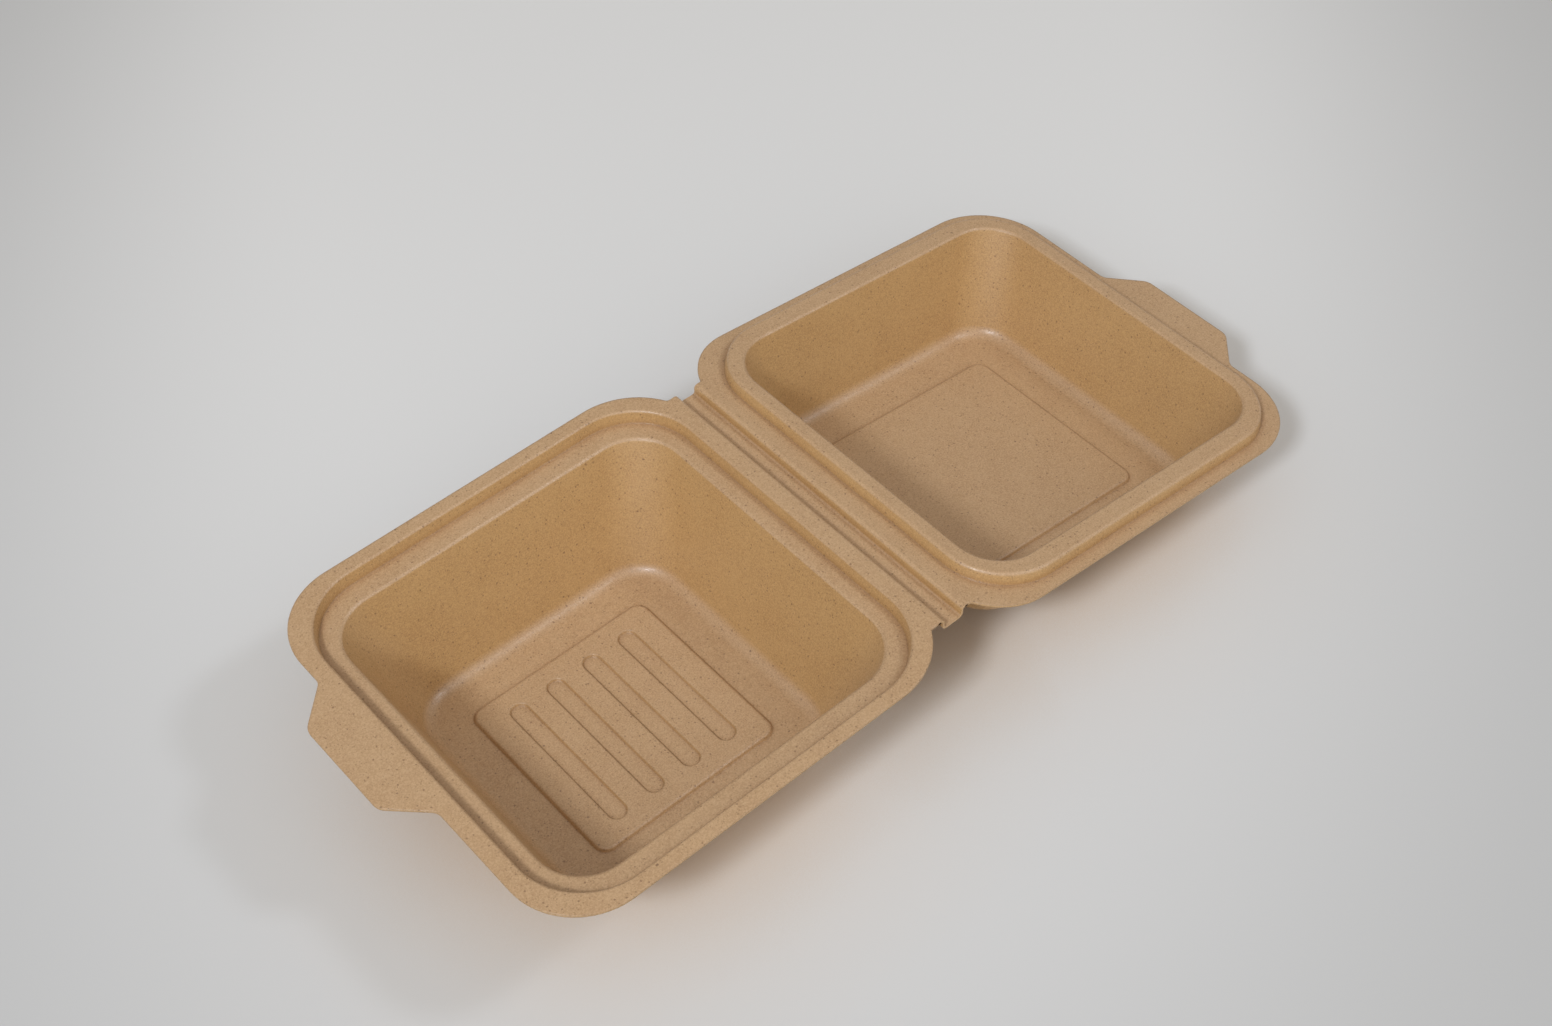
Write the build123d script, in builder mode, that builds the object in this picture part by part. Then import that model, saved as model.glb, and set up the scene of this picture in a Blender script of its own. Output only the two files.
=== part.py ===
from build123d import *
import os
from math import asin, atan2, cos, degrees, hypot, pi, radians, sin, tan

# Moulded plant-fibre clamshell box for one burger, lying open.
# Millimetres, Z up. The origin is on the table under the centre of the base
# tray. The lid lies on the +X side, and the far edge of its floor rests on
# the same table, so the lid leans down a little from the hinge.

# Sheet and running gaps
sheet = 0.7
flange_gap = 0.4
hinge_gap = 0.4

# Base flange, seen from above
base_height = 48.3
base_back = 74.5
base_half_y = 75.1
base_corner = 24.0
base_hinge_corner = 26.0

# Recess round the base tray, where the rim of the lid nests
back_flange = 5.9
side_flange = 5.0
hinge_flange = 5.2
recess_depth = 4.6
recess_draft = 0.9
recess_corner = 23.5
recess_half_x = base_back - back_flange
recess_half_y = base_half_y - side_flange

# Base tray, inside the ledge at the bottom of the recess
base_ledge_x = 5.9
base_ledge_y = 7.4
base_wall_run = 13.9
base_tray_corner = 17.4
base_mouth_x = recess_half_x - recess_draft - base_ledge_x
base_mouth_y = recess_half_y - recess_draft - base_ledge_y

# Lid flange, a little inside the base flange
lid_inset_front = 1.3
lid_inset_side = 0.7
lid_corner = 24.5
lid_hinge_corner = 21.5
lid_front = base_back - lid_inset_front
lid_half_y = base_half_y - lid_inset_side

# Raised rim of the lid, which nests in the recess
rim_gap = 0.4
rim_height = 4.1
rim_half_x = recess_half_x - rim_gap
rim_half_y = recess_half_y - rim_gap
rim_corner = recess_corner - rim_gap

# Lid tray, inside the rim
lid_depth = 34.1
rim_width_x = 6.1
rim_width_y = 7.6
lid_wall_run = 9.8
lid_tray_corner = 16.3
lid_mouth_x = rim_half_x - rim_width_x
lid_mouth_y = rim_half_y - rim_width_y

# Raised panels in both floors, and the ribs pressed into the base panel
panel_step = 1.2
panel_slope = 0.8
panel_corner = 4.5
base_panel_margin = 13.6
lid_panel_margin = 14.9
rib_pitch = 14.25
rib_width = 6.6
rib_side_margin = 12.0
rib_end_margin = 6.8
rib_depth = 0.8
rib_taper = 25.0

# Finger tabs, placed from the two sides of their flange
tab_flare = 45.0
tab_corner = 5.0
tab_root = 4.0
base_tab_reach = 11.9
base_tab_left = 33.6
base_tab_right = 57.2
lid_tab_reach = 11.1
lid_tab_left = 56.3
lid_tab_right = 34.7

# Hinge web, a trough that runs between the two flanges
web_reach = 5.4
lid_web_reach = 4.5
web_depth = 4.0
web_bend = 0.8
web_crest = 0.5
web_run_left = 11.6
web_run_right = 13.9
web_notch = 1.6

# Rounded edges of the upper skin
floor_fillet = 5.0
rim_fillet = 1.1
crest_chamfer = 0.45
ledge_chamfer = 0.6
mouth_chamfer = 0.55
panel_chamfer = 0.35

# Lengths this close count as equal when edges and corners are picked
match = 0.01

# Places that follow from the sizes above
recess_taper = degrees(atan2(recess_draft, recess_depth))
ledge_z = base_height - recess_depth
base_tray_depth = ledge_z - sheet
base_panel_z = sheet + panel_step
base_panel_x = base_mouth_x - base_wall_run - base_panel_margin
base_panel_y = base_mouth_y - base_wall_run - base_panel_margin
rib_length = 2 * (base_panel_y - rib_end_margin)
rib_count = 1 + int(2 * (base_panel_x - rib_side_margin) / rib_pitch)
web_left = base_half_y - base_hinge_corner + web_run_left
web_right = base_half_y - base_hinge_corner + web_run_right
base_web_x = recess_half_x + hinge_flange
pitch = base_web_x + web_reach
lid_tray_depth = rim_height + lid_depth - sheet
lid_slope = atan2(lid_wall_run, lid_tray_depth)
lid_floor_x = lid_mouth_x - lid_wall_run
lid_panel_x = lid_floor_x - lid_panel_margin
lid_panel_y = lid_mouth_y - lid_wall_run - lid_panel_margin

# The lid turns down about the hinge until its floor fillet meets the table
hinge_z = base_height + flange_gap / 2
foot_fillet = floor_fillet + sheet
foot_run = pitch + lid_floor_x - floor_fillet * tan(pi / 4 - lid_slope / 2)
foot_drop = lid_depth - foot_fillet + flange_gap / 2
foot_arm = hypot(foot_run, foot_drop)
lid_lean = asin((hinge_z - foot_fillet) / foot_arm) - atan2(foot_drop, foot_run)

# Lid plane: top of the lid flange, over the centre of the lid tray
lid_x = pitch + pitch * cos(lid_lean) - flange_gap / 2 * sin(lid_lean)
lid_z = hinge_z - pitch * sin(lid_lean) - flange_gap / 2 * cos(lid_lean)
lid_plane = Plane(
    origin=(lid_x, 0, lid_z),
    x_dir=(cos(lid_lean), 0, -sin(lid_lean)),
    z_dir=(sin(lid_lean), 0, cos(lid_lean)),
)


def grow(rise, run):
    """Outward step from the upper skin of a slanted wall to its lower skin."""
    slope = atan2(run, rise)
    return sheet * (1 - sin(slope)) / cos(slope)


def step(top, half_x, half_y, corner, rise, run):
    """Low block with rounded corners whose sides lean inward, up or down."""
    with BuildPart() as block:
        with BuildSketch(Plane.XY.offset(top)):
            RectangleRounded(2 * half_x, 2 * half_y, corner)
        extrude(amount=rise, taper=degrees(atan2(run, abs(rise))))
    return block.part


def tray(top, half_x, half_y, depth, run, corner, floor_corner):
    """Deep block whose sides lean inward to a floor with rounded edges."""
    with BuildPart() as upturned:
        with BuildSketch():
            Rectangle(2 * half_x, 2 * half_y)
        extrude(amount=depth, taper=degrees(atan2(run, depth)))
        fillet(upturned.edges().filter_by(Plane.XY, reverse=True), corner)
        fillet(upturned.faces().sort_by(Axis.Z)[-1].edges(), floor_corner)
    with BuildPart() as block:
        with Locations((0, 0, top)):
            add(upturned.part, rotation=(180, 0, 0))
    return block.part


def level_face(part, height):
    """Flat face of a part that lies at one height."""
    level = part.faces().filter_by(Axis.Z)
    return level.filter_by(lambda f: abs(f.center().Z - height) < match)[0]


def slots(height, growth):
    """Rib outlines at one height, each wider by a step all round."""
    with BuildSketch(Plane.XY.offset(height)) as face:
        with GridLocations(rib_pitch, 0, rib_count, 1):
            SlotOverall(rib_length + 2 * growth, rib_width + 2 * growth, rotation=90)
    return face.sketch


def flange(height, hinge_x, end_x, half_y, hinge_corner, end_corner, reach, tab_left, tab_right):
    """Flange outline with its hinge tongue and its finger tab."""
    way = 1 if end_x > hinge_x else -1
    tip_x = end_x + way * reach
    flare = reach * tan(radians(tab_flare))
    root_left = half_y - tab_left
    root_right = tab_right - half_y
    tongue = min(hinge_corner, abs(end_x - hinge_x) / 2)
    with BuildSketch(Plane.XY.offset(height)) as outline:
        with Locations(((hinge_x + end_x) / 2, 0)):
            Rectangle(abs(end_x - hinge_x), 2 * half_y)
        corners = outline.vertices()
        fillet(corners.filter_by(lambda v: abs(v.X - hinge_x) < match), hinge_corner)
        corners = outline.vertices()
        fillet(
            corners.filter_by(lambda v: abs(v.X - end_x) < match and abs(v.Y) > half_y - match),
            end_corner,
        )
        with Locations((hinge_x + way * tongue / 2, (web_left - web_right) / 2)):
            Rectangle(tongue, web_left + web_right)
        Polygon(
            (end_x - way, root_right),
            (end_x, root_right),
            (tip_x, root_right + flare),
            (tip_x, root_left - flare),
            (end_x, root_left),
            (end_x - way, root_left),
            align=None,
        )
        spots = outline.vertices()
        fillet(spots.filter_by(lambda v: abs(v.X - tip_x) < match), tab_corner)
        spots = outline.vertices()
        fillet(
            spots.filter_by(
                lambda v: abs(v.X - end_x) < match
                and min(abs(v.Y - root_left), abs(v.Y - root_right)) < match
            ),
            tab_root,
        )
        spots = outline.vertices()
        fillet(
            spots.filter_by(
                lambda v: min(abs(v.Y - web_left), abs(v.Y + web_right)) < match
                and abs(v.X - hinge_x) > match
            ),
            web_notch,
        )
    return outline.sketch


# Blocks that make the upper and lower skins of the base
recess_grow = grow(recess_depth, recess_draft)
base_grow = grow(base_tray_depth, base_wall_run)
panel_grow = grow(panel_step, panel_slope)
rib_grow = grow(rib_depth, rib_depth * tan(radians(rib_taper)))

base_recess_hollow = step(
    base_height, recess_half_x, recess_half_y, recess_corner, -recess_depth, recess_draft
)
base_recess_under = step(
    base_height - sheet,
    recess_half_x + recess_grow,
    recess_half_y + recess_grow,
    recess_corner + recess_grow,
    -recess_depth,
    recess_draft,
)
base_tray_hollow = tray(
    ledge_z, base_mouth_x, base_mouth_y, base_tray_depth, base_wall_run, base_tray_corner, floor_fillet
)
base_tray_under = tray(
    ledge_z - sheet,
    base_mouth_x + base_grow,
    base_mouth_y + base_grow,
    base_tray_depth,
    base_wall_run,
    base_tray_corner + sheet,
    floor_fillet + sheet,
)
base_panel = step(sheet, base_panel_x, base_panel_y, panel_corner, panel_step, panel_slope)
base_panel_under = step(
    0,
    base_panel_x - panel_grow,
    base_panel_y - panel_grow,
    panel_corner - panel_grow,
    panel_step,
    panel_slope,
)

# Hollow of the base: nesting recess above, food tray below
with BuildPart() as base_hollow:
    add(base_recess_hollow)
    add(base_tray_hollow)
    chamfer(level_face(base_hollow, ledge_z).inner_wires().edges(), ledge_chamfer)

# Base: flange and lower skin, the hollow taken out, then the floor panel
with BuildPart() as base:
    extrude(
        flange(
            base_height - sheet,
            base_web_x,
            -base_back,
            base_half_y,
            base_hinge_corner,
            base_corner,
            base_tab_reach,
            base_tab_left,
            base_tab_right,
        ),
        amount=sheet,
    )
    add(base_recess_under)
    add(base_tray_under)
    add(base_hollow.part, mode=Mode.SUBTRACT)
    chamfer(level_face(base, base_height).inner_wires().edges(), crest_chamfer)
    add(base_panel)
    add(base_panel_under, mode=Mode.SUBTRACT)
    chamfer(level_face(base, base_panel_z).outer_wire().edges(), panel_chamfer)

    # Ribs pressed down into the panel
    extrude(slots(panel_step, rib_grow), amount=-rib_depth, taper=rib_taper)
    extrude(slots(base_panel_z, 0), amount=-rib_depth, taper=rib_taper, mode=Mode.SUBTRACT)
base.part.label = "base"

# Blocks that make the two skins of the lid, with its flange top at height 0
rim_draft = rim_height * tan(radians(recess_taper))
rim_grow = grow(rim_height, rim_draft)
lid_grow = grow(lid_tray_depth, lid_wall_run)
lid_floor_z = sheet - lid_depth

rim = step(0, rim_half_x, rim_half_y, rim_corner, rim_height, rim_draft)
rim_under = step(
    -sheet,
    rim_half_x - rim_grow,
    rim_half_y - rim_grow,
    rim_corner - rim_grow,
    rim_height,
    rim_draft,
)
lid_tray_hollow = tray(
    rim_height, lid_mouth_x, lid_mouth_y, lid_tray_depth, lid_wall_run, lid_tray_corner, floor_fillet
)
lid_tray_under = tray(
    rim_height - sheet,
    lid_mouth_x + lid_grow,
    lid_mouth_y + lid_grow,
    lid_tray_depth,
    lid_wall_run,
    lid_tray_corner + sheet,
    floor_fillet + sheet,
)
lid_panel = step(lid_floor_z, lid_panel_x, lid_panel_y, panel_corner, panel_step, panel_slope)
lid_panel_under = step(
    -lid_depth,
    lid_panel_x - panel_grow,
    lid_panel_y - panel_grow,
    panel_corner - panel_grow,
    panel_step,
    panel_slope,
)

# Lid before it leans: flange, raised rim, tray and floor panel
with BuildPart() as level_lid:
    extrude(
        flange(
            -sheet,
            lid_web_reach - pitch,
            lid_front,
            lid_half_y,
            lid_hinge_corner,
            lid_corner,
            lid_tab_reach,
            lid_tab_left,
            lid_tab_right,
        ),
        amount=sheet,
    )
    add(rim)
    fillet(level_face(level_lid, rim_height).outer_wire().edges(), rim_fillet)
    add(rim_under, mode=Mode.SUBTRACT)
    add(lid_tray_under)
    add(lid_tray_hollow, mode=Mode.SUBTRACT)
    chamfer(level_face(level_lid, rim_height).inner_wires().edges(), mouth_chamfer)
    add(lid_panel)
    add(lid_panel_under, mode=Mode.SUBTRACT)
    chamfer(level_face(level_lid, lid_floor_z + panel_step).outer_wire().edges(), panel_chamfer)

with BuildPart() as lid:
    with Locations(lid_plane):
        add(level_lid.part)
lid.part.label = "lid"

# Hinge web: a trough from the base flange almost to the lid flange
web_end_x = pitch + lid_web_reach - hinge_gap
with BuildPart() as hinge_strip:
    with BuildSketch(Plane.XZ.offset(-web_left)) as trough:
        with Locations(((base_web_x + web_end_x) / 2, base_height)):
            Rectangle(
                web_end_x - base_web_x,
                web_depth + sheet,
                align=(Align.CENTER, Align.MAX),
            )
        fillet(trough.vertices().group_by(Axis.Y)[0], web_bend + sheet)
        with BuildSketch(mode=Mode.SUBTRACT) as trough_hollow:
            with Locations(((base_web_x + web_end_x) / 2, base_height)):
                Rectangle(
                    web_end_x - base_web_x - 2 * sheet,
                    web_depth,
                    align=(Align.CENTER, Align.MAX),
                )
            fillet(trough_hollow.vertices().group_by(Axis.Y)[0], web_bend)
    extrude(amount=web_left + web_right)
    crests = hinge_strip.edges().filter_by(Axis.Y).group_by(Axis.Z)[-1]
    fillet(crests.sort_by(Axis.X)[1:3], web_crest)
hinge_strip.part.label = "hinge_strip"

os.makedirs("parts", exist_ok=True)
export_step(base.part, "parts/base.step")
export_step(lid.part, "parts/lid.step")
export_step(hinge_strip.part, "parts/hinge_strip.step")
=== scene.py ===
import bpy
import bmesh
from math import cos, radians, sin, tan
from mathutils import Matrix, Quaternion, Vector


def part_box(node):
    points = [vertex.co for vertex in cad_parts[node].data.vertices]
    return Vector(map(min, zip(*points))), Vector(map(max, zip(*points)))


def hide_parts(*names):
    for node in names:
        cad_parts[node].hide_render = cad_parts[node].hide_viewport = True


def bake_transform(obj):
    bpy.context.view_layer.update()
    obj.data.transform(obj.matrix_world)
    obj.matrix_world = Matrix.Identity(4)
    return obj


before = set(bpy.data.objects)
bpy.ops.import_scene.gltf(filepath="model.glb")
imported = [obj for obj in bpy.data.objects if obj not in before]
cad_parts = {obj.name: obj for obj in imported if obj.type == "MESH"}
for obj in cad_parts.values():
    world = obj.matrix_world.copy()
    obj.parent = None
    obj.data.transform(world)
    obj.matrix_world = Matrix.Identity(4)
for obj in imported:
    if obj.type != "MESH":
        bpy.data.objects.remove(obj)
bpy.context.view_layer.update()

# Clamshell box of moulded plant fibre. Metres, in the frame of the CAD model.
MM = 0.001

# Sheet and hinge, as the CAD model has them
SHEET = 0.7 * MM
BASE_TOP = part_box("base")[1].z
WEB_START, WEB_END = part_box("hinge_strip")
BASE_EDGE_X = WEB_START.x
LID_EDGE_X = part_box("lid")[0].x
HINGE_HEIGHT = 48.5 * MM
LID_REACH = 4.5 * MM  # from the hinge line to the edge of the lid's flange
LID_DROP = 0.2 * MM  # from the hinge line to the upper skin of that flange
LEAN = radians(6.47)  # of the lid as it lies open

# Bend of the web
WEB_STEPS = 60
WEB_LAP = 1.1 * MM  # over each flange
WEB_SKIN = 0.02 * MM  # above each flange
CREST_RADIUS = 1.0 * MM
TROUGH_RADIUS = 1.3 * MM
CREST_EASE = 0.1 * MM  # straight part between a flange's edge and the crest

# Fibre colours, in sRGB steps of 0 to 255
PULP_DEEP = (175, 139, 101)
PULP_LIGHT = (181, 146, 108)
BLOTCH_COLOUR = (175, 140, 98)
GRAIN_COLOUR = (202, 168, 129)
STRAND_COLOUR = (214, 186, 150)
DUST_COLOUR = (132, 98, 62)
FINE_SPECK_COLOUR = (112, 78, 48)
COARSE_SPECK_COLOUR = (92, 60, 36)

# Tints that multiply a colour
WALL_BOUNCE_AND_TONE_TINT = (1.03, 0.99, 0.78, 1)
CREASE_SHADE_TINT = (0.72, 0.62, 0.52, 1)
NEAR_BOX_WARM_SHADE_TINT = (1.02, 0.94, 0.86, 1)
UNDER_BOX_SHADOW_TINT = (0.84, 0.72, 0.58, 1)

# Studio
TABLE_LIGHT = (219, 219, 219)
TABLE_DARK = (188, 188, 188)
TABLE_HALF_SIZE = 6.0
BACKDROP_GREY = (206, 206, 205)
ROOM_LIGHT = (1.0, 0.945, 0.87, 1)
LAMP_COLOUR = (0.85, 0.915, 1.0)
LAMP_REACH = 2.2
LAMP_WIDTH = 0.3
LAMP_AIM = Vector((0.08, 0, 0.02))


def linear(rgb):
    """Linear colour of an sRGB colour given in steps of 0 to 255."""
    return tuple((c / 255 / 12.92) if c <= 10 else ((c / 255 + 0.055) / 1.055) ** 2.4 for c in rgb) + (1,)


def direction(azimuth, elevation):
    """Unit vector towards a place in the sky, angles in radians."""
    return Vector((cos(azimuth) * cos(elevation), sin(azimuth) * cos(elevation), sin(elevation)))


class Nodes:
    """Short calls for building the node tree of a material or world."""

    def __init__(self, owner):
        owner.use_nodes = True
        self.tree = owner.node_tree
        self.tree.nodes.clear()

    def add(self, kind, **values):
        node = self.tree.nodes.new(kind)
        for name, value in values.items():
            setattr(node, name, value)
        return node

    def link(self, source, target):
        self.tree.links.new(source, target)

    def put(self, socket, value):
        """Link a socket, or set it to a plain value."""
        if isinstance(value, bpy.types.NodeSocket):
            self.link(value, socket)
        else:
            socket.default_value = value

    def math(self, operation, a, b=0.0, clamp=False):
        node = self.add("ShaderNodeMath", operation=operation, use_clamp=clamp)
        self.put(node.inputs[0], a)
        self.put(node.inputs[1], b)
        return node.outputs[0]

    def vector_math(self, operation, a, b, output="Vector"):
        node = self.add("ShaderNodeVectorMath", operation=operation)
        self.put(node.inputs[0], a)
        self.put(node.inputs[1], b)
        return node.outputs[output]

    def ramp(self, value, low, high, out_low=0.0, out_high=1.0):
        """Value between two limits, brought smoothly to another range."""
        node = self.add("ShaderNodeMapRange", interpolation_type="SMOOTHSTEP")
        self.put(node.inputs["Value"], value)
        for name, number in zip(("From Min", "From Max", "To Min", "To Max"), (low, high, out_low, out_high)):
            self.put(node.inputs[name], number)
        return node.outputs["Result"]

    def mix(self, factor, a, b, blend="MIX"):
        node = self.add("ShaderNodeMix", data_type="RGBA", blend_type=blend)
        self.put(node.inputs["Factor"], factor)
        self.put(node.inputs[6], a)
        self.put(node.inputs[7], b)
        return node.outputs[2]

    def stretched(self, place, pitch, turn=(0, 0, 0), stretch=(1, 1, 1)):
        """Place in units of one pitch, turned and stretched."""
        node = self.add("ShaderNodeMapping", vector_type="POINT")
        self.put(node.inputs["Vector"], place)
        node.inputs["Rotation"].default_value = turn
        node.inputs["Scale"].default_value = tuple(s / pitch for s in stretch)
        return node.outputs["Vector"]

    def noise(self, place, detail=2.0, rough=0.5, output="Fac"):
        node = self.add("ShaderNodeTexNoise", noise_dimensions="3D")
        self.put(node.inputs["Vector"], place)
        node.inputs["Scale"].default_value = 1
        node.inputs["Detail"].default_value = detail
        node.inputs["Roughness"].default_value = rough
        return node.outputs[output]

    def cells(self, place):
        node = self.add("ShaderNodeTexVoronoi", voronoi_dimensions="3D", feature="F1")
        self.put(node.inputs["Vector"], place)
        node.inputs["Scale"].default_value = 1
        return node

    def open_sky(self, distance, only_local=False):
        """1 on open ground, and lower where something stands within the distance."""
        node = self.add("ShaderNodeAmbientOcclusion", samples=4, only_local=only_local)
        node.inputs["Distance"].default_value = distance
        return node.outputs["AO"]

    def mix_shaders(self, factor, a, b):
        node = self.add("ShaderNodeMixShader")
        self.put(node.inputs[0], factor)
        self.link(a.outputs[0], node.inputs[1])
        self.link(b.outputs[0], node.inputs[2])
        return node

    def finish(self, kind, shader):
        out = self.add(kind)
        self.link(shader.outputs[0], out.inputs["Surface"])


def specks(n, place, pitch, size, share):
    """Roundish specks: one in some of the cells, of differing sizes."""
    cells = n.cells(n.stretched(place, pitch))
    pick = n.add("ShaderNodeSeparateColor")
    n.link(cells.outputs["Color"], pick.inputs[0])
    chosen = n.math("LESS_THAN", pick.outputs[0], share)
    edge = n.ramp(pick.outputs[1], 0, 1, 0.2 * size / pitch, 0.5 * size / pitch)
    inside = n.math("SUBTRACT", 1, n.math("DIVIDE", cells.outputs["Distance"], edge), clamp=True)
    return n.math("MULTIPLY", n.ramp(inside, 0.0, 0.5), chosen)


def add_specks(n, place, pulp):
    """Dark specks of three sizes, laid over the colour of the pulp."""
    # A small shift of the place takes away their round outline
    shift = n.add("ShaderNodeVectorMath", operation="MULTIPLY_ADD")
    n.link(n.noise(n.stretched(place, 0.35 * MM), 0, 0.5, output="Color"), shift.inputs[0])
    shift.inputs[1].default_value = (0.3 * MM, 0.3 * MM, 0.3 * MM)
    n.link(place, shift.inputs[2])
    place = shift.outputs[0]

    dust = specks(n, place, 0.7 * MM, 0.62 * MM, 0.6)
    fine = specks(n, place, 1.5 * MM, 0.85 * MM, 0.5)
    coarse = specks(n, place, 5.0 * MM, 1.0 * MM, 0.5)
    pulp = n.mix(n.math("MULTIPLY", dust, 0.5), pulp, linear(DUST_COLOUR))
    pulp = n.mix(n.math("MULTIPLY", fine, 0.65), pulp, linear(FINE_SPECK_COLOUR))
    return n.mix(n.math("MULTIPLY", coarse, 0.62), pulp, linear(COARSE_SPECK_COLOUR))


def tint_by_form(n, normal, pulp):
    """Deeper tan on the walls, partly the denser drawn fibre and partly painted warm bounce light; painted
    shade along the narrow inner creases.
    """
    facing = n.add("ShaderNodeSeparateXYZ")
    n.link(normal, facing.inputs[0])
    # Steep walls get a deeper tan: partly the drawn fibre's own tone, partly painted warm bounce light
    steep = n.ramp(n.math("ABSOLUTE", facing.outputs["Z"]), 0.25, 0.75, 1.0, 0.0)
    pulp = n.mix(steep, pulp, WALL_BOUNCE_AND_TONE_TINT, "MULTIPLY")

    # Painted shade: darker and warmer where the sheet has more of itself within a few millimetres, as in
    # inner creases
    crease_shade = n.ramp(n.open_sky(2.5 * MM, only_local=True), 0.55, 0.97, 1.0, 0.0)
    return n.mix(crease_shade, pulp, CREASE_SHADE_TINT, "MULTIPLY")


def fibre_relief(n, cloud, blotch, grain, rounding):
    """Fine bumps of the sheet, over edges that are rounded if asked for."""
    height = n.math("MULTIPLY", grain, 0.06 * MM)
    height = n.math("ADD", height, n.math("MULTIPLY", blotch, 0.06 * MM))
    height = n.math("ADD", height, n.math("MULTIPLY", cloud, 0.25 * MM))

    bump = n.add("ShaderNodeBump")
    bump.inputs["Strength"].default_value = 1.0
    bump.inputs["Distance"].default_value = 1.0
    n.link(height, bump.inputs["Height"])
    if rounding:
        edges = n.add("ShaderNodeBevel", samples=4)
        edges.inputs["Radius"].default_value = rounding
        n.link(edges.outputs[0], bump.inputs["Normal"])
    return bump.outputs[0]


def fibre_material(name, rounding):
    """Tan moulded fibre: softly mottled, satin, with fine dark specks."""
    material = bpy.data.materials.new(name)
    n = Nodes(material)
    source = n.add("ShaderNodeTexCoord")
    place = source.outputs["Object"]

    cloud = n.noise(n.stretched(place, 15 * MM), 2, 0.5)
    blotch = n.noise(n.stretched(place, 3.2 * MM), 3, 0.6)
    grain = n.noise(n.stretched(place, 0.5 * MM), 2, 0.6)
    strand = n.noise(n.stretched(place, 0.5 * MM, (0.3, 0.5, 0.9), (0.2, 1, 1)), 1, 0.5)

    pulp = n.mix(n.ramp(cloud, 0.3, 0.7), linear(PULP_DEEP), linear(PULP_LIGHT))
    pulp = n.mix(n.ramp(blotch, 0.35, 0.7, 0.0, 0.35), pulp, linear(BLOTCH_COLOUR))
    pulp = n.mix(n.ramp(grain, 0.38, 0.66, 0.0, 0.65), pulp, linear(GRAIN_COLOUR))
    pulp = n.mix(n.ramp(strand, 0.66, 0.74, 0.0, 0.16), pulp, linear(STRAND_COLOUR))
    # Painted warm bounce light on the walls and painted shade in the creases
    pulp = tint_by_form(n, source.outputs["Normal"], pulp)
    pulp = add_specks(n, place, pulp)

    shader = n.add("ShaderNodeBsdfPrincipled")
    n.link(pulp, shader.inputs["Base Color"])
    n.link(n.ramp(grain, 0.35, 0.65, 0.52, 0.3), shader.inputs["Roughness"])
    n.link(fibre_relief(n, cloud, blotch, grain, rounding), shader.inputs["Normal"])
    shader.inputs["Specular IOR Level"].default_value = 0.9
    shader.inputs["Sheen Weight"].default_value = 0.04
    shader.inputs["Sheen Roughness"].default_value = 0.5
    n.finish("ShaderNodeOutputMaterial", shader)
    return material


def arc(centre, radius, start, end, count=6):
    """Points of an arc, angles in degrees, both ends taken in."""
    angles = [radians(start + (end - start) * i / count) for i in range(count + 1)]
    return [Vector((centre[0] + radius * cos(a), centre[1] + radius * sin(a))) for a in angles]


def lid_edge_top():
    """Height of the lid flange's upper skin at its hinge edge."""
    return HINGE_HEIGHT - LID_REACH * sin(LEAN) - LID_DROP * cos(LEAN)


def web_profile():
    """Middle line of the web across the hinge, from flange to flange."""
    half = SHEET / 2
    left = BASE_EDGE_X
    right = LID_EDGE_X
    trough = (WEB_START.z + SHEET) - half + TROUGH_RADIUS
    top_left = BASE_TOP - half
    top_right = lid_edge_top() - half
    crest_left = left + CREST_EASE
    crest_right = right - CREST_EASE

    line = [Vector((left - WEB_LAP, top_left + WEB_SKIN))]
    line += arc((crest_left, top_left - CREST_RADIUS), CREST_RADIUS, 90, 8)
    line += arc((crest_left + CREST_RADIUS + TROUGH_RADIUS, trough), TROUGH_RADIUS, 188, 270)
    line += arc((crest_right - CREST_RADIUS - TROUGH_RADIUS, trough), TROUGH_RADIUS, 270, 352)
    line += arc((crest_right, top_right - CREST_RADIUS), CREST_RADIUS, 172, 90)
    line += [Vector((right + WEB_LAP, top_right + WEB_SKIN - WEB_LAP * tan(LEAN)))]
    return line


def web_section():
    """Points of both skins along the profile, upper and lower in turn."""
    line = web_profile()
    half = SHEET / 2
    points = []
    for k, spot in enumerate(line):
        ahead = line[min(k + 1, len(line) - 1)]
        behind = line[max(k - 1, 0)]
        way = (ahead - behind).normalized()
        side = Vector((-way.y, way.x))
        points += [spot + side * half, spot - side * half]
    return points


def web_mesh():
    """Closed mesh of the section carried along the hinge."""
    section = web_section()
    bm = bmesh.new()
    rows = []
    for i in range(WEB_STEPS + 1):
        y = WEB_START.y + (WEB_END.y - WEB_START.y) * (i / WEB_STEPS)
        rows.append([bm.verts.new((point.x, y, point.y)) for point in section])
    last = len(section) - 2
    for a, b in zip(rows, rows[1:]):
        for k in range(0, last, 2):
            bm.faces.new((a[k], a[k + 2], b[k + 2], b[k]))
            bm.faces.new((a[k + 1], b[k + 1], b[k + 3], a[k + 3]))
        for k in (0, last):
            bm.faces.new((a[k], b[k], b[k + 1], a[k + 1]))
    for row in (rows[0], rows[-1]):
        for k in range(0, last, 2):
            bm.faces.new((row[k], row[k + 1], row[k + 3], row[k + 2]))
    bmesh.ops.recalc_face_normals(bm, faces=bm.faces)

    for face in bm.faces:
        face.smooth = True
    for edge in bm.edges:
        edge.smooth = edge.calc_face_angle(0) < radians(40)
    mesh = bpy.data.meshes.new("hinge_web")
    bm.to_mesh(mesh)
    bm.free()
    return mesh


def build_web(material):
    """Hinge web: one thin trough that joins both flanges."""
    mesh = web_mesh()
    mesh.materials.append(material)
    web = bpy.data.objects.new("hinge_web", mesh)
    bpy.context.scene.collection.objects.link(web)
    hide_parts("hinge_strip")
    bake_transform(web)


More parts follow.
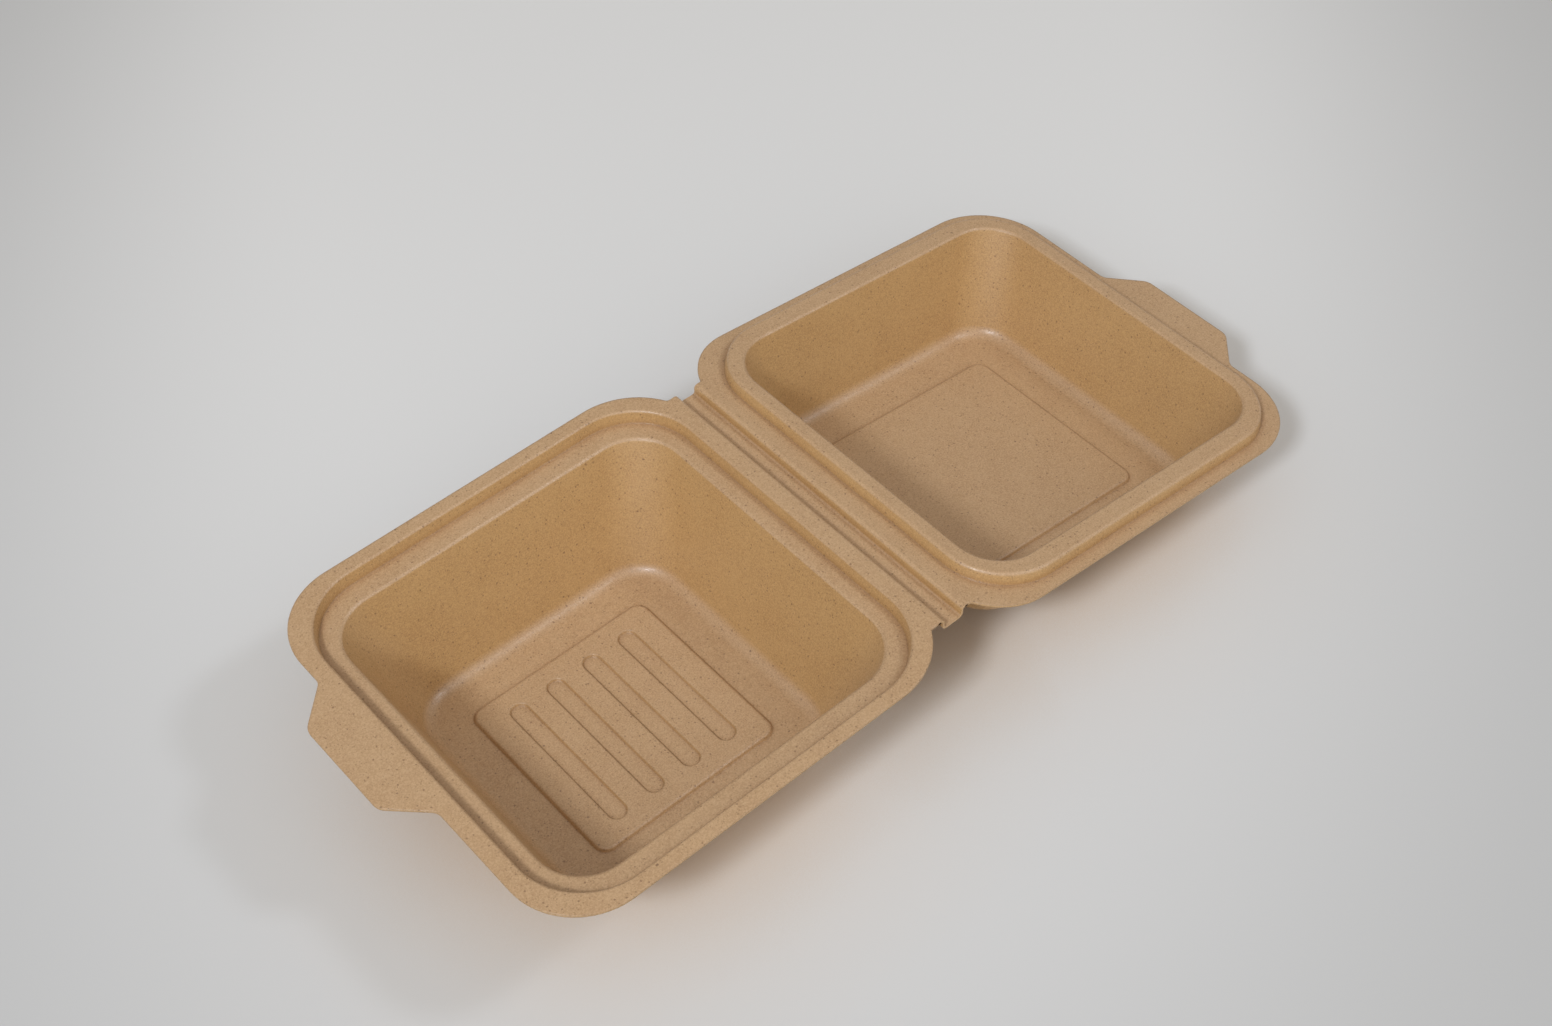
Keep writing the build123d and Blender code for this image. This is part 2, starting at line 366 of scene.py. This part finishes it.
def dress_cad_nodes(material):
    """Give base and lid the fibre material."""
    for name in ("base", "lid"):
        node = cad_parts[name]
        for slot in node.material_slots:
            slot.material = material


def table_distance(n):
    """Distance from the table's brightest spot, in an oval that lies across the view."""
    brightest = (0.234, 0.219, 0)
    turn = 0.726
    narrowing = 1.76
    place = n.add("ShaderNodeTexCoord").outputs["Object"]
    turned = n.stretched(n.vector_math("SUBTRACT", place, brightest), 1.0, (0, 0, turn))
    oval = n.vector_math("MULTIPLY", turned, (narrowing, 1, 0))
    length = n.add("ShaderNodeVectorMath", operation="LENGTH")
    n.link(oval, length.inputs[0])
    return length.outputs["Value"]


def table_material():
    """Pale matte table top: a painted pool of light behind the box, and painted warm shade close to it."""
    material = bpy.data.materials.new("pale_table")
    n = Nodes(material)
    distance = table_distance(n)
    # Painted pool of light: the paint is lighter near one spot behind the box and darker farther off
    paint = n.mix(n.ramp(distance, 0.277, 0.641), linear(TABLE_LIGHT), linear(TABLE_DARK))

    # The table is painted slightly warmer and darker close to the box, as painted warm shade, with a deeper
    # painted shadow under it, in place of the tan light that the real, slightly translucent sheet lets
    # through
    open_sky = n.open_sky(70 * MM)
    paint = n.mix(n.ramp(open_sky, 0.25, 0.95, 1.0, 0.0), paint, NEAR_BOX_WARM_SHADE_TINT, "MULTIPLY")
    paint = n.mix(n.ramp(open_sky, 0.1, 0.5, 1.0, 0.0), paint, UNDER_BOX_SHADOW_TINT, "MULTIPLY")

    shader = n.add("ShaderNodeBsdfPrincipled")
    n.link(paint, shader.inputs["Base Color"])
    shader.inputs["Roughness"].default_value = 0.85
    shader.inputs["Specular IOR Level"].default_value = 0.2

    # Far from the box the camera sees the backdrop's grey, so no horizon shows
    backdrop = n.add("ShaderNodeEmission")
    backdrop.inputs["Color"].default_value = linear(BACKDROP_GREY)
    seen = n.add("ShaderNodeLightPath").outputs["Is Camera Ray"]
    far_away = n.ramp(distance, 0.8, 2.2)
    surface = n.mix_shaders(n.math("MULTIPLY", far_away, seen), shader, backdrop)
    n.finish("ShaderNodeOutputMaterial", surface)
    return material


def build_table():
    """Plain table top under the box."""
    mesh = bpy.data.meshes.new("table")
    size = TABLE_HALF_SIZE
    corners = [(-size, -size, 0), (size, -size, 0), (size, size, 0), (-size, size, 0)]
    mesh.from_pydata(corners, [], [(0, 1, 2, 3)])
    mesh.materials.append(table_material())
    table = bpy.data.objects.new("table", mesh)
    table.location.z = -0.02 * MM
    bpy.context.scene.collection.objects.link(table)


def add_softbox(name, azimuth, elevation, power):
    """Square soft lamp aimed at the box from one side."""
    lamp = bpy.data.lights.new(name, "AREA")
    lamp.shape = "RECTANGLE"
    lamp.size = LAMP_WIDTH
    lamp.size_y = LAMP_WIDTH
    lamp.energy = power
    lamp.color = LAMP_COLOUR
    holder = bpy.data.objects.new(name, lamp)
    holder.location = LAMP_AIM + LAMP_REACH * direction(azimuth, elevation)
    holder.rotation_euler = (LAMP_AIM - holder.location).to_track_quat("-Z", "Y").to_euler()
    bpy.context.scene.collection.objects.link(holder)


def studio_world():
    """Warm room light, which the camera sees as a pale grey backdrop."""
    world = bpy.data.worlds.new("studio")
    n = Nodes(world)
    room = n.add("ShaderNodeBackground")
    room.inputs["Color"].default_value = ROOM_LIGHT
    # A wide window in front of the box gives the room light its direction
    window = direction(radians(240), radians(38))
    sky = n.add("ShaderNodeTexCoord").outputs["Generated"]
    towards = n.vector_math("DOT_PRODUCT", sky, window, output="Value")
    n.link(n.ramp(towards, 0.35, 0.97, 0.38, 0.92), room.inputs["Strength"])

    backdrop = n.add("ShaderNodeBackground")
    backdrop.inputs["Color"].default_value = linear(BACKDROP_GREY)
    seen = n.add("ShaderNodeLightPath").outputs["Is Camera Ray"]
    n.finish("ShaderNodeOutputWorld", n.mix_shaders(seen, room, backdrop))
    return world


def light_scene():
    """Softboxes at the front left and front right, and the light of the room."""
    add_softbox("key", radians(203), radians(46.5), 22.5)
    add_softbox("fill", radians(318), radians(50), 7.0)
    bpy.context.scene.world = studio_world()


def place_camera():
    """Camera at the photograph's height, distance and angle."""
    place = Vector((-209.5, -333.2, 548.4)) * MM
    aim = Vector((65.71, 1.40, 48.3)) * MM
    roll = radians(-2.138)
    lens = bpy.data.cameras.new("camera")
    lens.sensor_fit = "HORIZONTAL"
    lens.sensor_width = 36
    lens.lens = 50.116
    camera = bpy.data.objects.new("camera", lens)
    camera.rotation_mode = "QUATERNION"
    camera.rotation_quaternion = (aim - place).to_track_quat("-Z", "Y") @ Quaternion((0, 0, 1), roll)
    camera.location = place
    bpy.context.scene.collection.objects.link(camera)
    bpy.context.scene.camera = camera


dress_cad_nodes(fibre_material("moulded_fibre", 0.9 * MM))
build_web(fibre_material("moulded_fibre_web", 0.0))
build_table()
light_scene()
place_camera()
bpy.context.scene.view_settings.view_transform = "Standard"
